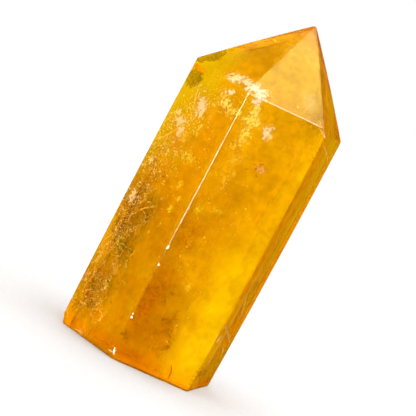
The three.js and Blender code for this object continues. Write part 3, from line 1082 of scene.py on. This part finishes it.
def swarm(name, rows, material):
    """One object from swarms of flakes that lie wholly inside the stone."""
    corners = np.concatenate([flakes(strewn(*row[:-1]), row[-1]) for row in rows])
    corners = corners[plane_heights(corners).max((-2, -1)) < -BURIED]
    faces = np.arange(len(corners) * CORNERS).reshape(-1, CORNERS)
    mesh = bpy.data.meshes.new(name)
    mesh.from_pydata(corners.reshape(-1, 3) * MM, [], faces.tolist())
    mesh.materials.append(material)
    return inclusion(name, mesh)


# Swarms: face, middle across and up, spread each way, nearest and deepest, count, how many
# to a clump, and size.
YELLOW_CRUMBS = [
    (4, -5.6, 59, 0.6, 1.8, 0.2, 0.6, 160, 20, 0.1),
    (4, -4.8, 50, 1.2, 6, 0.25, 1, 520, 12, 0.11),
    (4, -1.6, 34, 2.8, 8, 0.4, 1.4, 340, 7, 0.11),
    (4, 0, 15, 4, 8, 0.5, 1.6, 130, 2, 0.1),
]
swarm("yellow_crumbs", YELLOW_CRUMBS, matt("yellow_crumb", (1, 0.9, 0.2), (1, 0.8, 0.45), 1.5))
WHITE_FLECKS = [
    (3, -4.8, 44, 2.4, 5, 0.15, 0.35, 70, 3, 0.13),
    (3, -5.8, 27, 1.6, 9, 0.15, 0.35, 110, 3, 0.14),
    (3, 0.5, 54, 3.5, 3, 0.15, 0.35, 80, 4, 0.14),
]
swarm("white_flecks", WHITE_FLECKS, matt("white_fleck", (1, 1, 1), (1, 0.95, 0.85), 1.5))
PALE_CRUMBS = [
    (3, -5, 31, 2.2, 9, 0.2, 0.8, 1500, 6, 0.105),
    (3, -4.2, 13, 2.6, 5, 0.2, 0.8, 520, 8, 0.11),
    (3, -3.2, 48, 3.4, 4.6, 0.2, 0.8, 1200, 9, 0.12),
    (3, 2.5, 57, 4, 2.8, 0.2, 0.9, 420, 12, 0.11),
    (3, 0, 55, 1, 1.6, 0.3, 0.7, 160, 40, 0.1),
    (3, 2.5, 38, 2.6, 8, 0.5, 1.6, 200, 5, 0.11),
    (9, 3.2, -9.6, 2.4, 0.6, 0.2, 0.5, 260, 30, 0.1),
    (10, -8.2, -9.2, 0.8, 0.8, 0.2, 0.5, 140, 30, 0.1),
    (2, 3, 30, 4, 14, 0.3, 2, 1200, 12, 0.07),
    (1, 0, 35, 5, 14, 0.5, 4, 700, 10, 0.08),
    (0, 0, 34, 5, 14, 0.5, 4, 400, 8, 0.08),
    (5, 0, 30, 5, 16, 0.5, 4, 120, 3, 0.07),
]
swarm("pale_crumbs", PALE_CRUMBS, matt("pale_crumb", (1, 0.92, 0.45), (1, 1, 0.78), 1.5))
DARK_CRUMBS = [
    (3, -6, 20, 1.8, 9, 0.3, 1, 500, 10, 0.07),
    (3, -3.4, 6.6, 1.2, 1.2, 0.6, 1.2, 90, 30, 0.09),
    (4, -4.6, 17.5, 1.6, 1, 0.9, 1.4, 110, 25, 0.08),
    (4, -1, 11.5, 0.9, 2.6, 0.9, 1.4, 60, 15, 0.07),
    (1, 2, 14, 2, 5, 0.5, 2, 120, 15, 0.09),
]
swarm("dark_crumbs", DARK_CRUMBS, matt("dark_crumb", (0.12, 0.05, 0), (0.3, 0.13, 0), 1))
RUST_CRUMBS = [
    (4, 0.5, 48.6, 0.1, 0.1, 0.25, 0.35, 60, 60, 0.13),
    (4, 0.6, 47.4, 0.3, 0.5, 0.35, 0.5, 10, 4, 0.1),
]
swarm("rust_crumbs", RUST_CRUMBS, matt("rust_crumb", (0.5, 0.03, 0), (0.7, 0.1, 0.02), 1))

# The one pink cloud, round the rust.
pink = matt("pink_cloud", (1, 0.56, 0.36), (1, 0.7, 0.5), 0.9, ragged(1.4, 5, 0.5, 0.5, 0.9))
patches("pink_cloud", [(4, 1.3, 48.6, 0.4, 1.5, 1.2, -20)], pink)


# The studio --------------------------------------------------------------------------
# The stone stands on pale felt in a white room. Light that comes off dull things is
# brightened, and the polish mirrors a dark room with three soft boxes in it.

# The floor's width in metres, and how much brighter the light off dull things is.
FLOOR_SIZE = 6.0
FILL = 2.2
DEGREES = 180 / math.pi

edge = FLOOR_SIZE / 2
floor_mesh = bpy.data.meshes.new("floor")
floor_corners = [(-edge, -edge, 0), (edge, -edge, 0), (edge, edge, 0), (-edge, edge, 0)]
floor_mesh.from_pydata(floor_corners, [], [(0, 1, 2, 3)])
floor = in_scene("floor", floor_mesh)
floor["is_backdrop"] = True
floor.visible_glossy = False
felt, tree, shader, place = finish("pale_floor")
nap = ramp(tree, noise(tree, place, 0.8), 0.3, 0.7)
tree.links.new(mixed(tree, nap, (0.39, 0.39, 0.39), (0.41, 0.41, 0.41)), shader.inputs["Base Color"])
shader.inputs["Roughness"].default_value = 0.9
floor_mesh.materials.append(felt)

world = bpy.data.worlds.new("studio")
bpy.context.scene.world = world
world.use_nodes = True
sky = world.node_tree


def window(value, low, high, soft):
    """1 where the value lies between low and high, falling to 0 over the soft width."""
    rise = sums(sky, "DIVIDE", sums(sky, "SUBTRACT", value, low - soft), soft)
    fall = sums(sky, "DIVIDE", sums(sky, "SUBTRACT", high + soft, value), soft)
    inside = sums(sky, "MINIMUM", rise, fall)
    return sums(sky, "MINIMUM", sums(sky, "MAXIMUM", inside, 0.0), 1.0)


way = put(sky, "SeparateXYZ", {0: put(sky, "TexCoord").outputs["Generated"]}).outputs
bearing = times(sky, sums(sky, "ARCTAN2", way[1], way[0]), DEGREES)
bearing = sums(sky, "MODULO", sums(sky, "ADD", bearing, 360.0), 360.0)
height = times(sky, sums(sky, "ARCSINE", way[2]), DEGREES)

# Soft boxes, in degrees: bearing from and to, height from and to, soft edge; brightness.
BOXES = [
    (285, 355, 48, 88, 8, 1.8),
    (190, 262, -6.1, 1, 0.6, 16),
    (270, 330, 14, 46, 6, 8),
]
boxes = 0.0
for west, east, low, high, soft, power in BOXES:
    box = times(sky, window(bearing, west, east, soft), window(height, low, high, soft))
    boxes = sums(sky, "ADD", times(sky, box, power), boxes)
ray = put(sky, "LightPath").outputs
through = sums(sky, "SUBTRACT", 1.0, ray["Is Transmission Ray"])
mirrored = times(sky, ray["Is Glossy Ray"], through)
off_dull = sums(sky, "MINIMUM", ray["Diffuse Depth"], 1.0)
plain = sums(sky, "ADD", 1.0, times(sky, off_dull, FILL))
plain = times(sky, sums(sky, "SUBTRACT", 1.0, mirrored), plain)
strength = sums(sky, "ADD", times(sky, mirrored, boxes), plain)
background = sky.nodes["Background"]
background.inputs["Color"].default_value = WHITE
sky.links.new(strength, background.inputs["Strength"])

scene = bpy.context.scene
scene.view_settings.view_transform = "Standard"


# The camera --------------------------------------------------------------------------
# A long lens nearly level with the stone's middle. It is rolled, so that the stone leans
# to the right in the picture. Angles in degrees, lengths in millimetres.

AZIMUTH, ELEVATION, ROLL = -16.49, 5.348, 26.844
DISTANCE, AIM_ASIDE, AIM_HEIGHT = 445.8, -0.035, 35.197
FOCAL_PIXELS, PICTURE_PIXELS, SENSOR = 2095.25, 416, 36

azimuth, elevation, roll = (math.radians(angle) for angle in (AZIMUTH, ELEVATION, ROLL))
flat = math.cos(elevation)
back = np.array([math.sin(azimuth) * flat, -math.cos(azimuth) * flat, math.sin(elevation)])
level = np.array([math.cos(azimuth), math.sin(azimuth), 0])
upright = np.cross(back, level)
right = level * math.cos(roll) + upright * math.sin(roll)
up = upright * math.cos(roll) - level * math.sin(roll)
eye = (np.array([0, 0, AIM_HEIGHT]) + level * AIM_ASIDE + back * DISTANCE) * MM

lens = bpy.data.cameras.new("camera")
lens.lens = FOCAL_PIXELS * SENSOR / PICTURE_PIXELS
lens.sensor_width = SENSOR
lens.clip_start = 0.01
lens.clip_end = 50
camera = in_scene("camera", lens)
camera.matrix_world = Matrix([*np.column_stack([right, up, back, eye]).tolist(), [0, 0, 0, 1]])
scene.camera = camera

size = {
    "cad": [list(map(float, corner)) for corner in cad_box],
    "visual": [list(map(float, corner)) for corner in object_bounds()],
}
